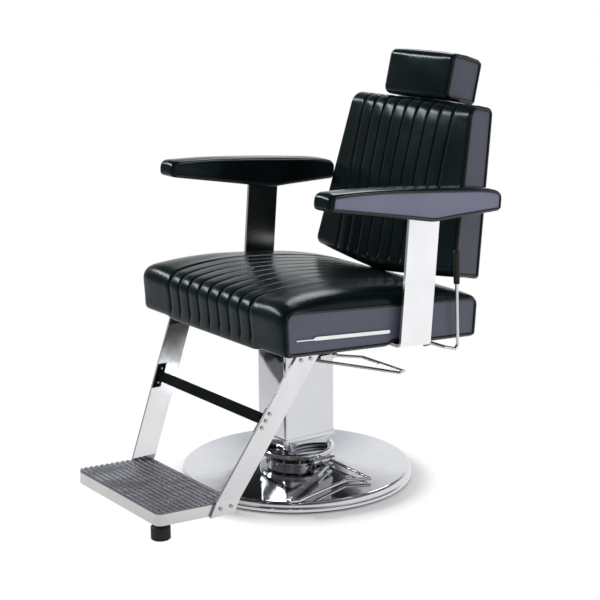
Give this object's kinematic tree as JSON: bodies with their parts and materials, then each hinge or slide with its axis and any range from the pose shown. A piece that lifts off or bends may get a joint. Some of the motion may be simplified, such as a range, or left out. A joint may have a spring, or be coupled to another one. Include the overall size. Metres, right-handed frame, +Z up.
{
  "type": "barber chair",
  "caption": "Hydraulic barber chair: round polished base, square column, channelled seat and reclining back, padded arms on straps, headrest and fixed footrest.",
  "frame": {"origin": "on the floor, at the centre of the round base, on the swivel axis", "axes": "+Z up; the chair faces -Y; +X is the sitter's left, the side with the recline lever"},
  "size_m": [0.695, 0.9919, 1.0091],
  "materials": {
    "chrome": "polished chrome plate",
    "steel": "plain bright steel",
    "black_paint": "satin black paint",
    "iron": "black painted casting",
    "rubber": "matt black",
    "bronze": "turned bearing bronze",
    "board": "plain plywood",
    "upholstery": "black leather with a soft sheen over foam",
    "alloy": "cast, with polished ribs and rim"
  },
  "bodies": {
    "base": {"base_cover": "chrome", "base_plate": "iron", "floor_ring": "rubber", "housing_bolts": "steel", "pump_housing": "chrome", "flange_ring": "chrome", "reservoir_cap": "chrome", "filler_plug": "steel", "lift_cylinder": "steel", "cylinder_gland": "bronze", "ram_wiper": "rubber", "pump_body": "steel", "pedal_pin": "steel"},
    "pedal": {"pump_pedal": "chrome", "pedal_sleeve": "rubber"},
    "plunger": {"pump_plunger": "steel"},
    "lift": {"ram": "chrome", "piston": "bronze", "piston_seal": "rubber", "thrust_bearing": "steel"},
    "seat": {"swivel_hub": "black_paint", "hub_bolts": "steel", "column_shroud": "chrome", "seat_frame": "black_paint", "seat_board": "board", "seat_cushion": "upholstery", "arm_strap_left": "chrome", "arm_strap_right": "chrome", "arm_core_left": "board", "arm_core_right": "board", "arm_pad_left": "upholstery", "arm_pad_right": "upholstery", "strap_bolts": "steel", "stay_left": "chrome", "stay_right": "chrome", "stay_crossbar": "black_paint", "footrest_screws": "steel", "foot_plate": "alloy", "foot_tread": "alloy", "foot_stem": "steel", "foot_rubber": "rubber", "side_trims": "chrome", "lever_bearings": "black_paint", "lock_bracket": "black_paint", "recline_pins": "steel", "lock_cylinder": "steel"},
    "lever": {"recline_lever": "chrome", "lever_grip": "rubber"},
    "handle": {"lock_handle": "steel"},
    "back": {"back_frame": "black_paint", "recline_bushes": "bronze", "back_cushion": "upholstery", "back_shell": "upholstery", "headrest_socket": "steel"},
    "rod": {"lock_rod": "steel"},
    "headrest": {"headrest_bar": "chrome", "headrest_board": "board", "headrest_cushion": "upholstery"}
  },
  "joints": [
    {"name": "seat_lift", "type": "slide", "parent": "base", "child": "lift", "axis": [0, 0, 1], "range_m": [0, 0.15]},
    {"name": "seat_swivel", "type": "hinge", "parent": "lift", "child": "seat", "pos_m": [0, 0, 0.35], "axis": [0, 0, 1], "continuous": true},
    {"name": "pedal_swing", "type": "hinge", "parent": "base", "child": "pedal", "pos_m": [0.084, 0.017, 0.0535], "axis": [0, -1, 0], "range_deg": [0, 18]},
    {"name": "plunger_slide", "type": "slide", "parent": "base", "child": "plunger", "axis": [0, 0, 1], "range_m": [-0.0104, 0]},
    {"name": "recline", "type": "hinge", "parent": "seat", "child": "back", "pos_m": [0, 0.332, 0.452], "axis": [-1, 0, 0], "range_deg": [0, 45]},
    {"name": "lock_rod_slide", "type": "slide", "parent": "seat", "child": "rod", "axis": [0, 1, 0], "range_m": [-0.086, 0]},
    {"name": "lever_pull", "type": "hinge", "parent": "seat", "child": "lever", "pos_m": [0.2, 0.185, 0.361], "axis": [-1, 0, 0], "range_deg": [0, 20], "stiffness_Nm_per_rad": 2, "springref_deg": -11.46},
    {"name": "lock_release", "type": "hinge", "parent": "seat", "child": "handle", "pos_m": [0.153, -0.032, 0.334], "axis": [0, -1, 0], "range_deg": [0, 10]},
    {"name": "headrest_slide", "type": "slide", "parent": "back", "child": "headrest", "axis": [0, 0.2283, 0.9736], "range_m": [0, 0.09]}
  ],
  "couplings": [
    {"joint": "plunger_slide", "follows": "pedal_swing", "m_per_rad": -0.03247},
    {"joint": "lock_rod_slide", "follows": "recline", "m_per_rad": -0.10817}
  ]
}
